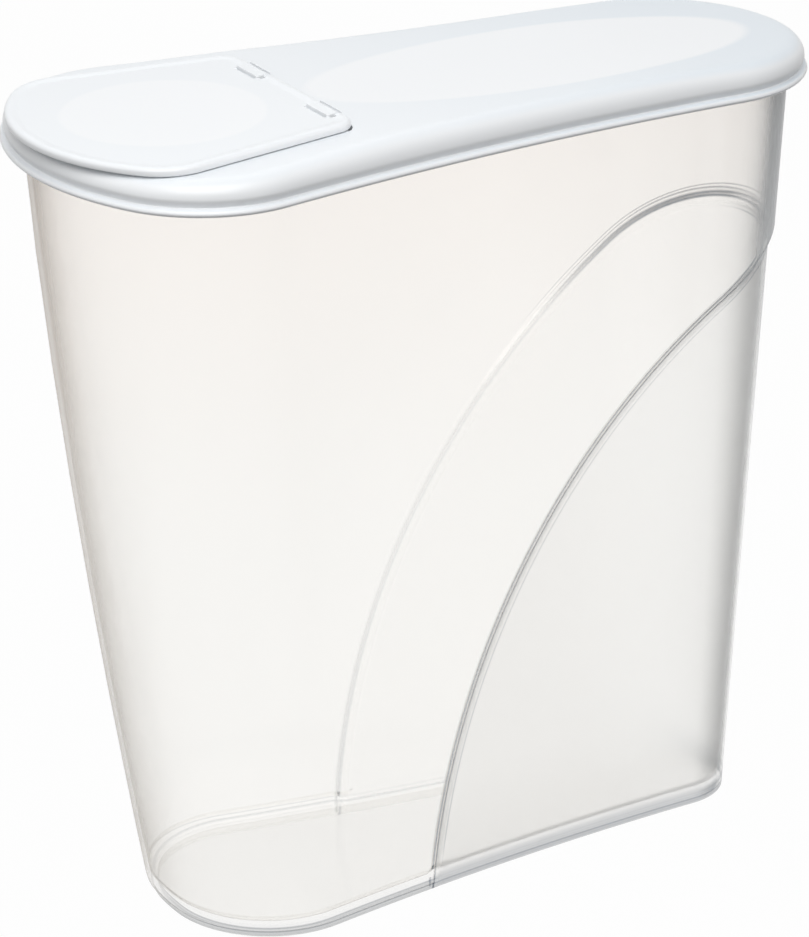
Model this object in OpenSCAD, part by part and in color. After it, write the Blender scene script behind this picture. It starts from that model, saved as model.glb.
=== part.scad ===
// Cereal container with a flip spout: a leaning tub, a press-on lid and a hinged pouring flap.
// X runs from the pouring nose (-X) to the narrow grip end (+X), Z is up, millimetres.

/* [Lid] */
// Length over everything, from the flap's lip to the rear end
total_len = 256.1; // [255.8:0.1:256.8]
// Length of the lid over its bead
lid_len = 255.3; // [251:0.1:258]
// Width of the lid at its widest, just behind the nose
lid_w = 117.4; // [114:0.2:120]
// Plan radius of the blunt nose
nose_r = 81.5; // [76:0.5:90]
// Plan radius of the two front corners
corner_r = 37.8; // [34:0.2:41]
// Plan radius of the narrow rear end
tail_r = 42; // [40:0.2:43]
// Plan radius of the hollow waist on each side
waist_r = 854; // [780:2:960]
// Height of the flat deck above the lower edge of the lid
deck_h = 11.1; // [10.5:0.1:12]
// Slope of the deck under the flap, down to the nose, in degrees
deck_fall = 1.35; // [0:0.05:1.6]
// Slope of the deck down to the rear end, in degrees
tail_fall = 1.2; // [0:0.1:1.6]
// Depth of the oval dish in the deck
dish_depth = 0.6; // [0:0.1:0.8]

/* [Tub] */
// Height of the lid's lower edge above the table
tub_h = 240; // [236:1:244]
// Wall thickness
wall = 1.4; // [1.2:0.1:1.6]
// How far the wall stands back from the edge of the lid
lid_overhang = 5.7; // [5.7:0.05:6]
// Position of the nose at the foot
base_nose_x = -86.9; // [-92:0.1:-80]
// How far the leaning nose swells out at mid height
nose_belly = 1.7; // [0:0.1:2]
// Plan radius of the nose at the foot
base_nose_r = 100; // [90:1:112]
// Plan radius of the front corners at the foot
base_corner_r = 34.1; // [32:0.1:36]
// Width at the foot
base_w = 74.4; // [73:0.2:80]
// Position of the rear end at the foot
base_tail_x = 114; // [110:0.2:118]
// Plan radius of the rear end at the foot
base_tail_r = 22.3; // [21:0.1:24]
// Plan radius of the waist at the foot
base_waist_r = 996; // [900:2:1100]
// Height of the floor
floor_h = 4.6; // [4.2:0.1:5.2]

/* [Grip recess] */
// Depth of the recess in the rear of both sides
grip_depth = 1.3; // [0.8:0.1:1.5]
// Width of the sloping ledge round the recess
ledge_w = 2; // [1.5:0.1:3]
// Radius of the sweeping edge of the recess, in side view
sweep_r = 221.5; // [216:0.5:226]
// Centre of the sweeping edge along the length
sweep_x = 210.2; // [206:0.2:214]
// Centre of the sweeping edge above the table
sweep_z = -8.7; // [-12:0.1:-6]

/* [Flap] */
// Plan radius of the front lip
flap_nose_r = 59.3; // [56:0.1:62]
// Plan radius of the front corners
flap_corner_r = 17.7; // [16:0.1:19]
// Width at the widest
flap_w = 90.9; // [89:0.1:92]
// Angle by which each straight side runs inwards, in degrees
flap_taper = 9.3; // [8:0.1:11]
// Position of the rear edge
flap_rear_x = -42.7; // [-43.1:0.1:-42.2]
// Plan radius of the rear corners
flap_rear_r = 6.5; // [5:0.1:7]
// Thickness at the rim
flap_t = 2.4; // [2.2:0.1:2.6]
// Gap between the closed flap and the deck
seat_gap = 0.25; // [0.2:0.05:0.4]
// Distance of the pouring hole from the edge of the flap
spout_inset = 12.5; // [12:0.1:14]
// Position of the rear edge of the pouring hole
spout_rear_x = -57.9; // [-62:0.1:-56.4]

/* [Hinge] */
// Position of the hinge axis along the length
hinge_x = -44.9; // [-45.2:0.1:-44.7]
// Height of the hinge axis above the deck
hinge_rise = 0.85; // [0.8:0.05:0.95]
// Radius of the lid's hinge bars
bar_r = 1; // [0.9:0.05:1.1]
// Running clearance round the bars
bar_fit = 0.05; // [0.03:0.01:0.09]
// Outer radius of the flap's knuckles
knuckle_r = 2.2; // [2.1:0.05:2.3]
// Length of each knuckle
knuckle_len = 11.6; // [10:0.2:12]
// Distance of each knuckle's middle from the centre line
knuckle_y = 20.4; // [19:0.1:22]
// Thickness of the ears that carry the bars
ear_t = 1.3; // [1.1:0.1:1.5]

/* [Hidden] */
$fn = 48;

// Segments on each arc of half an outline, from the nose to the rear end
nose_segs = 7;
corner_segs = 11;
side_segs = 4;
sweep_segs = 15;
tail_segs = 10;
half_segs = nose_segs + corner_segs + side_segs + sweep_segs + tail_segs;
ring_n = 2 * half_segs;
// The same for the flap, whose sides and rear edge are straight
flap_nose_segs = 9;
flap_corner_segs = 12;
flap_rear_segs = 7;
flap_half = flap_nose_segs + flap_corner_segs + flap_rear_segs + 2;
// Strips across the dished surfaces
dish_strips = 10;
flap_strips = 8;

fit_gap = 0.35;
through = 30;
skin_t = 1.3;
fall = tan(deck_fall);

// An outline is [tip, nose radius, corner radius, half width, tail centre, tail radius, waist radius]
lid_tip = total_len / 2 - lid_len;
tail_mid = total_len / 2 - tail_r;
flap_tip = -total_len / 2;
lid_line = [lid_tip, nose_r, corner_r, lid_w / 2, tail_mid, tail_r, waist_r];
rim_line = [
    lid_tip + lid_overhang, nose_r - lid_overhang, corner_r - lid_overhang, lid_w / 2 - lid_overhang,
    tail_mid, tail_r - lid_overhang, waist_r + lid_overhang
];
foot_line = [
    base_nose_x, base_nose_r, base_corner_r, base_w / 2,
    base_tail_x - base_tail_r, base_tail_r, base_waist_r
];
// Where the sweeping edge of the recess meets the table
sweep_foot_x = sweep_x - sqrt(sweep_r * sweep_r - sweep_z * sweep_z);

function sq(v) = v * v;
function mix(a, b, t) = a + (b - a) * t;
function clamp(v, low, high) = min(max(v, low), high);
function unit(a) = [cos(a), sin(a)];
function bearing(v) = atan2(v.y, v.x);

// Points of an arc as [point, outward normal], without its last point
function arc(mid, r, from, to, segs, side = 1) = [
    for (i = [0:segs - 1]) let (n = unit(mix(from, to, i / segs))) [mid + r * n, side * n]
];

// Corner centre, tangent to the nose arc and to the widest line
function corner_mid(l) =
    let (y = l[3] - l[2])
    [l[0] + l[1] - sqrt(sq(l[1] - l[2]) - y * y), y];

// Waist centre, on the outer side, tangent to the corner arc and to the tail arc
function waist_mid(l) =
    let (c = corner_mid(l), d = [l[4], 0] - c, dist = norm(d), u = d / dist)
    let (a = l[2] + l[6], b = l[5] + l[6], t = (a * a - b * b + dist * dist) / (2 * dist))
    c + t * u + sqrt(a * a - t * t) * [-u.y, u.x];

// Fractions along the waist: even ahead of the recess, then closing up where its edge is steep
function waist_steps(start_x, end_x) =
    let (foot = (sweep_foot_x - start_x) / (end_x - start_x), ease = 1.8)
    [
        for (i = [0:side_segs - 1]) foot * i / side_segs,
        for (i = [0:sweep_segs - 1]) foot + (1 - foot) * pow(i / sweep_segs, ease)
    ];

// Half an outline from the nose tip to the rear tip, as [point, outward normal]
function half_line(l) =
    let (nose = [l[0] + l[1], 0], corner = corner_mid(l), waist = waist_mid(l), tail = [l[4], 0])
    let (turn = bearing(corner - nose), enter = bearing(waist - corner))
    let (from = bearing(corner - waist), to_raw = bearing(tail - waist))
    let (to = to_raw < from ? to_raw + 360 : to_raw)
    let (start = waist + l[6] * unit(from), end = waist + l[6] * unit(to))
    concat(
        arc(nose, l[1], 180, turn, nose_segs),
        arc(corner, l[2], turn, enter, corner_segs),
        [
            for (s = waist_steps(start.x, end.x))
                let (n = unit(mix(from, to, s)))
                [waist + l[6] * n, -n]
        ],
        arc(tail, l[5], bearing(waist - tail), 0, tail_segs),
        [[tail + [l[5], 0], [1, 0]]]
    );

// The whole ring, down the other side
function whole(half) =
    let (m = len(half) - 1)
    concat(half, [for (i = [m - 1:-1:1]) [for (v = half[i]) [v.x, -v.y]]]);

lid_ring = whole(half_line(lid_line));
// The wall is a loft through level sections whose radii change evenly from the foot to the rim
section_n = 6;
function section_line(t) = mix(foot_line, rim_line, t) - [4 * nose_belly * t * (1 - t), 0, 0, 0, 0, 0, 0];
sections = [for (k = [0:section_n]) whole(half_line(section_line(k / section_n)))];

// Faces of a skin over rings of n points. The first ring is closed by a cap that faces up,
// made of `strips` strips whose inner points follow the rings, and the last one faces down.
function cap_index(n, count, strips, k, j) =
    let (m = n / 2)
    k == 0 ? 0 : k == m ? m : j == 0 ? k : j == strips ? n - k :
    count * n + (k - 1) * (strips - 1) + j - 1;

function skin_faces(n, count, strips) =
    let (m = n / 2, last = (count - 1) * n)
    concat(
        [
            for (r = [0:count - 2], i = [0:n - 1])
                let (a = r * n + i, b = r * n + (i + 1) % n)
                each [[a, a + n, b + n], [a, b + n, b]]
        ],
        [
            for (k = [0:m - 1], j = [0:strips - 1])
                let (a = cap_index(n, count, strips, k, j), b = cap_index(n, count, strips, k + 1, j))
                let (c = cap_index(n, count, strips, k + 1, j + 1), d = cap_index(n, count, strips, k, j + 1))
                each [if (b != c) [a, b, c], if (a != d) [a, c, d]]
        ],
        [
            for (k = [0:m - 1])
                let (a = last + k, b = last + k + 1, c = last + n - k - 1, d = last + (n - k) % n)
                each [if (b != c) [c, b, a], if (a != d) [d, c, a]]
        ]
    );

// Points inside the upper cap, sunk by an oval dish: centre x, half length, half width and depth
function cap_points(ring, strips, dish) =
    let (n = len(ring))
    [
        for (k = [1:n / 2 - 1], j = [1:strips - 1])
            let (p = mix(ring[k], ring[n - k], j / strips))
            let (away = sq((p.x - dish[0]) / dish[1]) + sq(p.y / dish[2]))
            p - [0, 0, dish[3] * max(0, 1 - away)]
    ];

module skin(rings, strips = 1, dish = [0, 1, 1, 0]) {
    points = concat([for (r = rings) each r], cap_points(rings[0], strips, dish));
    polyhedron(points, skin_faces(len(rings[0]), len(rings), strips), convexity = 8);
}

// ---- Tub ----

rim_top = 8.2;

// A point of the leaning wall, pushed out by off
function wall_point(i, z, off) =
    let (t = min(z / tub_h, 1) * section_n, k = min(floor(t), section_n - 1))
    let (spot = mix(sections[k][i], sections[k + 1][i], t - k))
    [spot[0].x + off * spot[1].x, spot[0].y + off * spot[1].y, z];

// Distance of a point from the centre of the sweeping edge, in side view
function sweep_away(p) = norm([p.x - sweep_x, p.z - sweep_z]);

// How far the grip recess pulls the wall in at a point
function recess(p) = grip_depth * clamp((sweep_r - sweep_away(p)) / ledge_w, 0, 1);

function tub_point(i, z, off) = wall_point(i, z, off - recess(wall_point(i, z, 0)));

// Height at which column i of the wall leaves a side-view circle of radius r, found by halving
function sweep_height(i, r, low, high = tub_h, turns = 14) =
    let (middle = (low + high) / 2, inside = sweep_away(wall_point(i, middle, 0)) < r)
    turns == 0 || sweep_away(wall_point(i, low, 0)) > r ? low :
    inside ? sweep_height(i, r, middle, high, turns - 1) : sweep_height(i, r, low, middle, turns - 1);

foot_rise = 6;
ledge_z = [for (i = [0:ring_n - 1]) sweep_height(i, sweep_r - ledge_w, foot_rise + 2)];
crest_z = [for (i = [0:ring_n - 1]) sweep_height(i, sweep_r, foot_rise + 4)];

function level_ring(off, z) = [for (i = [0:ring_n - 1]) tub_point(i, z, off)];
// The foot runs straight on under the recess, which is only just as deep as the foot stands back
function foot_point(i, z, off) =
    let (p = wall_point(i, z, 0))
    wall_point(i, z, min(off, -recess(p)));
function foot_ring(off, z) = [for (i = [0:ring_n - 1]) foot_point(i, z, off)];
// Rings that follow the recess: shares of the way up to its ledge, its ledge and crest, and on to the rim
function low_ring(off, share) =
    [for (i = [0:ring_n - 1]) tub_point(i, mix(foot_rise, ledge_z[i], share), off)];
function high_ring(off, share) =
    [for (i = [0:ring_n - 1]) tub_point(i, mix(crest_z[i], tub_h, share), off)];
low_shares = [1 / 3, 2 / 3, 1];
high_shares = [0, 1 / 4, 1 / 2, 3 / 4];

// Rows of the section as [offset from the wall, height]
floor_rows = [[-wall - 3, floor_h], [-wall - 0.9, floor_h + 0.9], [-wall, floor_h + 3]];
rim_rows = [
    [-wall, 1], [-wall, rim_top - 0.8], [-0.8, rim_top], [0.4, rim_top], [1.4, rim_top - 0.4],
    [2, rim_top - 1.4], [2, rim_top - 3.6], [1.2, rim_top - 4.8], [0, rim_top - 5.4]
];
foot_rows = [
    [0, foot_rise], [-0.1, 3.4], [-0.5, 2.6], [-1.3, 2.2], [-1.4, 0.8], [-1.9, 0], [-3.2, 0],
    [-3.6, floor_h - 1.6]
];

module tub() {
    color([0.94, 0.93, 0.91, 0.55])
        skin(concat(
            [for (r = floor_rows) level_ring(r[0], r[1])],
            [for (s = low_shares) low_ring(-wall, s)],
            [for (s = high_shares) high_ring(-wall, s)],
            [for (r = rim_rows) level_ring(r[0], tub_h + r[1])],
            [for (k = [3:-1:0]) high_ring(0, high_shares[k])],
            [for (k = [2:-1:0]) low_ring(0, low_shares[k])],
            [for (r = foot_rows) foot_ring(r[0], r[1])]
        ));
}

// ---- Lid ----

bead_h = 2.9;
wall_top = 6;
shoulder_in = 8.2;
wall_in = 1.8;
plug_out = lid_overhang + wall + 0.3;
plug_in = plug_out + skin_t;
channel_top = rim_top + 0.3;
lid_dish = [40.6, 77, 24, dish_depth];

// Deck height over the table, falling from the flap's hinge to the nose and gently to the rear end
fall_front = hinge_x + 5;
fall_rear = 61.6;
function deck_z(x) =
    tub_h + deck_h - fall * max(0, fall_front - x) - tan(tail_fall) * max(0, x - fall_rear);

// Ring at an offset from the lid's edge. h is the share of the way from wall top to deck
function lid_ring_at(off, h) = [
    for (v = lid_ring)
        let (p = v[0] + off * v[1])
        [p.x, p.y, mix(tub_h + wall_top, deck_z(p.x), h)]
];
function lid_level(off, z) =
    [for (v = lid_ring) let (p = v[0] + off * v[1]) [p.x, p.y, tub_h + z]];
function lid_under(off) =
    [for (v = lid_ring) let (p = v[0] + off * v[1]) [p.x, p.y, deck_z(p.x) - skin_t]];

// The quarter round of the shoulder, from the deck down to the top of the wall
shoulder_turns = [90, 70, 50, 30, 12, 0];
// Cove, bead, snap bead, channel over the tub's rim and the plug inside it
skirt_rows = [
    [-1.7, bead_h + 0.7], [-1.3, bead_h + 0.1], [-0.7, bead_h], [-0.15, bead_h - 0.5], [0, bead_h - 1.3],
    [-0.1, 0.7], [-0.7, 0], [-2.9, 0], [-3.45, 0.5], [-3.45, 1.1], [-3.2, 1.7],
    [-3.2, channel_top - 1.6], [-3.9, channel_top - 0.3], [-4.7, channel_top], [-plug_out, channel_top],
    [-plug_out, 1.2], [-plug_out - 0.4, 0.5], [-plug_in + 0.3, 0.5], [-plug_in, 0.9],
    [-plug_in, channel_top]
];

module lid_shell() {
    skin(concat(
        [
            for (a = shoulder_turns)
                lid_ring_at(-shoulder_in + (shoulder_in - wall_in) * cos(a), sin(a))
        ],
        [for (r = skirt_rows) lid_level(r[0], r[1])],
        [lid_under(-plug_in - 1)]
    ), dish_strips, lid_dish);
}

// The frame of the closed flap: the hinge axis is its origin and the sloping deck its floor
hinge_z = deck_z(hinge_x) + hinge_rise;
module hinge_frame() {
    translate([hinge_x, 0, hinge_z]) rotate([0, -deck_fall, 0]) children();
}

// Half of the flap's outline, ended by a slightly bowed edge at rear_x, about the hinge axis
rear_bow = 0.2;
function flap_half_line(rear_x, rear_r) =
    let (tip = flap_tip - hinge_x, nose = [tip + flap_nose_r, 0], half_w = flap_w / 2)
    let (corner = corner_mid([tip, flap_nose_r, flap_corner_r, half_w]))
    let (turn = bearing(corner - nose), side = 90 - flap_taper, n = unit(side))
    let (inner = corner + (flap_corner_r - rear_r) * n, run = rear_x - hinge_x - rear_r - inner.x)
    let (rear = inner + [run, -run / tan(side)])
    concat(
        arc(nose, flap_nose_r, 180, turn, flap_nose_segs),
        arc(corner, flap_corner_r, turn, side, flap_corner_segs),
        [[corner + flap_corner_r * n, n]],
        arc(rear, rear_r, side, 0, flap_rear_segs),
        [[rear + [rear_r, 0], [1, 0]], [[rear_x - hinge_x + rear_bow, 0], [1, 0]]]
    );

flap_ring = whole(flap_half_line(flap_rear_x, flap_rear_r));
spout_ring = whole(flap_half_line(spout_rear_x + spout_inset, flap_rear_r + spout_inset));

module ring_plate(ring, off, low, high) {
    translate([0, 0, low])
        linear_extrude(high - low)
            polygon([for (v = ring) v[0] + off * v[1]]);
}

deck_b = -hinge_rise;
trough_gap = 0.45;
trough_depth = 2.1;
trough_front = -3.3;
trough_half = 36.2;
pocket_depth = 3.4;
pocket_back = 3.5;
window_back = 5.8;
collar_h = 0.75;
collar_drop = 4;
collar_t = 1.2;
ear_out = knuckle_y + knuckle_len / 2 + fit_gap + ear_t;
ear_in = knuckle_y - knuckle_len / 2 - fit_gap - ear_t;
ear_r = 1.5;
web_t = 1.6;

// The groove under the flap's rear edge. grow makes the pan that holds it
module trough(grow, low, high) {
    intersection() {
        ring_plate(flap_ring, trough_gap + grow, low, high);
        translate([trough_front - grow, -trough_half - grow, low])
            cube([through, 2 * (trough_half + grow), high - low]);
    }
}

// The pocket under one knuckle, and the window behind it
module pocket(grow, low, high) {
    translate([trough_front - grow, ear_in - fit_gap - grow, low])
        cube([pocket_back - trough_front + 2 * grow, ear_out - ear_in + 2 * (fit_gap + grow), high - low]);
    translate([0, knuckle_y - knuckle_len / 2 - grow, low])
        cube([window_back + grow, knuckle_len + 2 * grow, high - low]);
}

module both_sides() {
    children();
    mirror([0, 1, 0]) children();
}

module along_y(r, from, to) {
    translate([0, to, 0]) rotate([90, 0, 0]) cylinder(h = to - from, r = r);
}

// One bar between its two ears, standing in a pocket
module hinge_bar() {
    along_y(bar_r, ear_in, ear_out);
    for (y = [ear_in, ear_out - ear_t]) {
        along_y(ear_r, y, y + ear_t);
        translate([-web_t / 2, y, deck_b - pocket_depth - skin_t / 2])
            cube([web_t, ear_t, pocket_depth + skin_t / 2 - deck_b]);
    }
}

module lid() {
    color([0.97, 0.98, 0.99])
        union() {
            difference() {
                union() {
                    lid_shell();
                    hinge_frame() {
                        ring_plate(spout_ring, -spout_inset + collar_t, deck_b - collar_drop, deck_b + collar_h);
                        trough(skin_t, deck_b - trough_depth - skin_t, deck_b - skin_t / 2);
                        both_sides() pocket(skin_t, deck_b - pocket_depth - skin_t, deck_b - skin_t / 2);
                    }
                }
                hinge_frame() {
                    ring_plate(spout_ring, -spout_inset, -through, through);
                    trough(0, deck_b - trough_depth, through);
                    both_sides() pocket(0, deck_b - pocket_depth, through);
                }
            }
            hinge_frame() both_sides() hinge_bar();
        }
}

// ---- Flap ----

rim_sink = 0.4;
flap_low = deck_b + seat_gap;
flap_high = flap_low + flap_t;
flap_under = deck_b + collar_h + fit_gap;
flap_dish = [-80.4 - hinge_x, 30, 25, 0.3];
// Rounded rim with the panel sunk inside it, as [offset, height]
flap_rows = [
    [-3.9, flap_high - rim_sink], [-3.1, flap_high - rim_sink + 0.15], [-2.3, flap_high - 0.05],
    [-1.4, flap_high], [-0.5, flap_high - 0.3], [0, flap_high - 1], [0, flap_low + 0.5],
    [-0.4, flap_low], [-1.8, flap_low], [-2.1, flap_low + 0.3], [-2.1, flap_under]
];
plug_drop = 3;
plug_t = 1.1;
strap_front = -5;
groove_front = -4;
groove_w = 0.9;
groove_depth = 1.1;
mouth_w = 1.7;
notch_front = -3;

module flap_shell() {
    skin([for (r = flap_rows) [for (v = flap_ring) let (p = v[0] + r[0] * v[1]) [p.x, p.y, r[1]]]],
        flap_strips, flap_dish);
}

// One knuckle with its strap
module knuckle_body() {
    from = knuckle_y - knuckle_len / 2;
    along_y(knuckle_r, from, from + knuckle_len);
    translate([strap_front, from, flap_low])
        cube([-strap_front, knuckle_len, flap_high - rim_sink - flap_low]);
}

// What is cut away round one knuckle: bore, snap mouth, groove and a slot for each ear
module knuckle_cuts() {
    from = knuckle_y - knuckle_len / 2;
    along_y(bar_r + bar_fit, ear_in - 1, ear_out + 1);
    translate([-mouth_w / 2, from - 1, -through])
        cube([mouth_w, knuckle_len + 2, through]);
    translate([groove_front, from, flap_high - rim_sink - groove_depth])
        cube([groove_w, knuckle_len, through]);
    for (y = [ear_in - fit_gap, ear_out - ear_t - fit_gap])
        translate([notch_front, y, -through])
            cube([through, ear_t + 2 * fit_gap, 2 * through]);
}

module flap() {
    color([0.98, 0.98, 0.97])
        hinge_frame() {
            difference() {
                union() {
                    flap_shell();
                    both_sides() knuckle_body();
                    difference() {
                        ring_plate(spout_ring, -spout_inset - fit_gap, deck_b - plug_drop, flap_under + 0.2);
                        ring_plate(spout_ring, -spout_inset - fit_gap - plug_t, -through, flap_under + 0.1);
                    }
                }
                both_sides() knuckle_cuts();
            }
        }
}

tub();
lid();
flap();
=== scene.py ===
# Cereal container with a flip spout: a see-through leaning tub, a white lid and a hinged flap
import math
import bmesh
import bpy
from mathutils import Matrix, Vector


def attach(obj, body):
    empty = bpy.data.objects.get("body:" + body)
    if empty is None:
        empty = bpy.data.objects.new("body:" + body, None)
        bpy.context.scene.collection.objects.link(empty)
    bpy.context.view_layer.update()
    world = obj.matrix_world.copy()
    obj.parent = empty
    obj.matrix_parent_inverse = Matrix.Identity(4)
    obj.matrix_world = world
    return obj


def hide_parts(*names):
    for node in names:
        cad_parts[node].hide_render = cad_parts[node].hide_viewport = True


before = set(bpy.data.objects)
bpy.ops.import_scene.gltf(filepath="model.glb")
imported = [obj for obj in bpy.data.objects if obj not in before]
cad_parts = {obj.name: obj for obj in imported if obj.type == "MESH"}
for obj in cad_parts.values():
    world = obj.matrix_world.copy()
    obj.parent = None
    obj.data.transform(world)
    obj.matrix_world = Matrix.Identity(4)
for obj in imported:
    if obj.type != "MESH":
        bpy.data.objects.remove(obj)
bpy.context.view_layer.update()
mm = 0.001
scene = bpy.context.scene
print("frame loaded")

# Plan outlines in mm. Half an outline is four tangent arcs: nose, corner, hollow waist and tail
lidPlan = dict(tip=-127.25, nose=81.5, corner=37.8, half=58.7, tailX=86.05, tail=42.0, waist=854.0)
footPlan = dict(tip=-86.9, nose=100.0, corner=34.1, half=37.2, tailX=91.7, tail=22.3, waist=996.0)
# Points along each arc. Those of sweep start where the hand recess's edge meets the foot, and ease crowds them there
planSteps = dict(nose=12, corner=26, side=10, sweep=46, tail=26, ease=1.8)


def bearing(v):
    return math.atan2(v.y, v.x)


def mixPlans(a, b, t):
    return {key: a[key] + (b[key] - a[key]) * t for key in a}


def insetPlan(plan, off):
    out = dict(plan, tip=plan["tip"] + off, half=plan["half"] - off, waist=plan["waist"] + off)
    for key in ("nose", "corner", "tail"):
        out[key] = plan[key] - off
    return out


# Spins one vertex about a centre, one short arc for each share of the turn
def spinChain(bm, vert, centre, turn, shares):
    last = 0.0
    for share in shares:
        made = bmesh.ops.spin(bm, geom=[vert], cent=(centre.x, centre.y, 0), axis=(0, 0, 1),
                              angle=(share - last) * turn, steps=1, use_duplicate=False)
        vert = next(g for g in made["geom_last"] if isinstance(g, bmesh.types.BMVert))
        last = share
    return vert


def evenShares(count):
    return [(i + 1) / count for i in range(count)]


# Centres of the four tangent arcs of half an outline
def arcCentres(plan):
    nose = Vector((plan["tip"] + plan["nose"], 0))
    y = plan["half"] - plan["corner"]
    corner = Vector((nose.x - math.sqrt((plan["nose"] - plan["corner"]) ** 2 - y * y), y))
    tail = Vector((plan["tailX"], 0))
    span = tail - corner
    a, b, d = plan["corner"] + plan["waist"], plan["tail"] + plan["waist"], span.length
    t = (a * a - b * b + d * d) / (2 * d)
    along = span / d
    waist = corner + along * t + Vector((-along.y, along.x)) * math.sqrt(a * a - t * t)
    return nose, corner, waist, tail


# Half an outline from the nose tip to the rear tip, as pairs of point and outward direction
def halfOutline(plan):
    nose, corner, waist, tail = arcCentres(plan)
    noseEnd = bearing(corner - nose)
    cornerEnd = bearing(waist - corner)
    waistStart = bearing(corner - waist)
    waistTurn = (bearing(tail - waist) - waistStart) % math.tau
    tailStart = bearing(waist - tail)
    startX = waist.x + plan["waist"] * math.cos(waistStart)
    endX = waist.x + plan["waist"] * math.cos(waistStart + waistTurn)
    sweepFoot = tub["sweepX"] - math.sqrt(tub["sweepR"] ** 2 - tub["sweepZ"] ** 2)
    foot = (sweepFoot - startX) / (endX - startX)
    ahead = [foot * s for s in evenShares(planSteps["side"])]
    behind = [foot + (1 - foot) * s ** planSteps["ease"] for s in evenShares(planSteps["sweep"])]
    bm = bmesh.new()
    vert = bm.verts.new((plan["tip"], 0, 0))
    vert = spinChain(bm, vert, nose, noseEnd - math.pi, evenShares(planSteps["nose"]))
    vert = spinChain(bm, vert, corner, cornerEnd - noseEnd, evenShares(planSteps["corner"]))
    vert = spinChain(bm, vert, waist, waistTurn, ahead + behind)
    spinChain(bm, vert, tail, -tailStart, evenShares(planSteps["tail"]))
    points = [v.co.xy.copy() for v in bm.verts]
    bm.free()
    counts = (planSteps["nose"], planSteps["corner"], planSteps["side"] + planSteps["sweep"], planSteps["tail"])
    centres = [nose] * (counts[0] + 1) + [corner] * counts[1] + [waist] * (counts[2] - 1) + [tail] * (counts[3] + 1)
    half = []
    for point, centre in zip(points, centres):
        out = (point - centre).normalized()
        half.append((point, -out if centre is waist else out))
    return half


def wholeOutline(half):
    mirrored = [(Vector((p.x, -p.y)), Vector((n.x, -n.y))) for p, n in reversed(half[1:-1])]
    return half + mirrored


# A closed ring of points, then each next ring is extruded from the last one and moved into place
def loftRings(bm, rings):
    loop = [bm.verts.new(p) for p in rings[0]]
    first = loop
    edges = [bm.edges.new((a, b)) for a, b in zip(loop, loop[1:] + loop[:1])]
    for ring in rings[1:]:
        made = bmesh.ops.extrude_edge_only(bm, edges=edges)["geom"]
        fresh = {g for g in made if isinstance(g, bmesh.types.BMVert)}
        edges = [g for g in made if isinstance(g, bmesh.types.BMEdge) and fresh.issuperset(g.verts)]
        loop = [next(e.other_vert(v) for e in v.link_edges if e.other_vert(v) in fresh) for v in loop]
        for vert, point in zip(loop, ring):
            vert.co = point
    return first, loop


# Fills a ring with strips that run from side to side, so that the panel can be dished
def fillAcross(bm, loop, strips):
    n = len(loop)
    half = n // 2
    for k in range(half):
        corners = [loop[k], loop[k + 1], loop[n - k - 1], loop[(n - k) % n]]
        bm.faces.new([v for i, v in enumerate(corners) if v not in corners[:i]])
    if strips == 1:
        return []
    rungs = [bm.edges.get((loop[k], loop[n - k])) for k in range(1, half)]
    made = bmesh.ops.subdivide_edges(bm, edges=rungs, cuts=strips - 1, use_grid_fill=True)
    return [g for g in made["geom_inner"] if isinstance(g, bmesh.types.BMVert)]


# Extruding leaves edges and faces in another order each run, and cuts depend on it, so they are sorted
def settleOrder(bm):
    def corners(item):
        return sorted(v.index for v in item.verts)

    bm.verts.index_update()
    for items in (bm.edges, bm.faces):
        items.index_update()
        ranks = {item.index: rank for rank, item in enumerate(sorted(items, key=corners))}
        items.sort(key=lambda item: ranks[item.index])
        items.index_update()


# A temporary object in mm, for cutting and joining
def toolObject(bm):
    settleOrder(bm)
    bmesh.ops.recalc_face_normals(bm, faces=bm.faces)
    mesh = bpy.data.meshes.new("tool")
    bm.to_mesh(mesh)
    bm.free()
    holder = bpy.data.objects.new("tool", mesh)
    scene.collection.objects.link(holder)
    return holder


# Joins or cuts a list of closed shapes, one after the other
def combine(bm, steps):
    target = toolObject(bm)
    for operation, shape in steps:
        tool = toolObject(shape)
        change = target.modifiers.new(operation, "BOOLEAN")
        change.operation = operation
        change.solver = "EXACT"
        change.object = tool
        graph = bpy.context.evaluated_depsgraph_get()
        shaped = bpy.data.meshes.new_from_object(target.evaluated_get(graph))
        target.modifiers.clear()
        target.data = shaped
        bpy.data.objects.remove(tool)
    bm = bmesh.new()
    bm.from_mesh(target.data)
    bpy.data.objects.remove(target)
    return bm


# A plate with an outline's shape, trimmed by planes given as a point and the side to drop
def plate(ring, off, low, high, trims=()):
    bm = bmesh.new()
    bm.faces.new([bm.verts.new(p) for p in offsetRing(ring, off, low)])
    for at, away in trims:
        geom = bm.verts[:] + bm.edges[:] + bm.faces[:]
        bmesh.ops.bisect_plane(bm, geom=geom, plane_co=at, plane_no=away, clear_outer=True)
    made = bmesh.ops.extrude_face_region(bm, geom=bm.faces[:], use_keep_orig=True)
    top = [g for g in made["geom"] if isinstance(g, bmesh.types.BMVert)]
    bmesh.ops.translate(bm, verts=top, vec=(0, 0, high - low))
    return bm


def block(low, high, bevel=0.0):
    bm = bmesh.new()
    low, high = Vector(low), Vector(high)
    place = Matrix.Translation((low + high) / 2) @ Matrix.Diagonal((*(high - low), 1))
    bmesh.ops.create_cube(bm, size=1, matrix=place)
    if bevel:
        bmesh.ops.bevel(bm, geom=bm.edges[:], offset=bevel, segments=2, profile=0.5, affect="EDGES", material=-1)
    return bm


def rod(radius, start, end, steps=40):
    bm = bmesh.new()
    place = Matrix.Translation((0, (start + end) / 2, 0)) @ Matrix.Rotation(math.pi / 2, 4, "X")
    bmesh.ops.create_cone(bm, cap_ends=True, segments=steps, radius1=radius, radius2=radius, depth=end - start,
                          matrix=place)
    return bm


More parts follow.
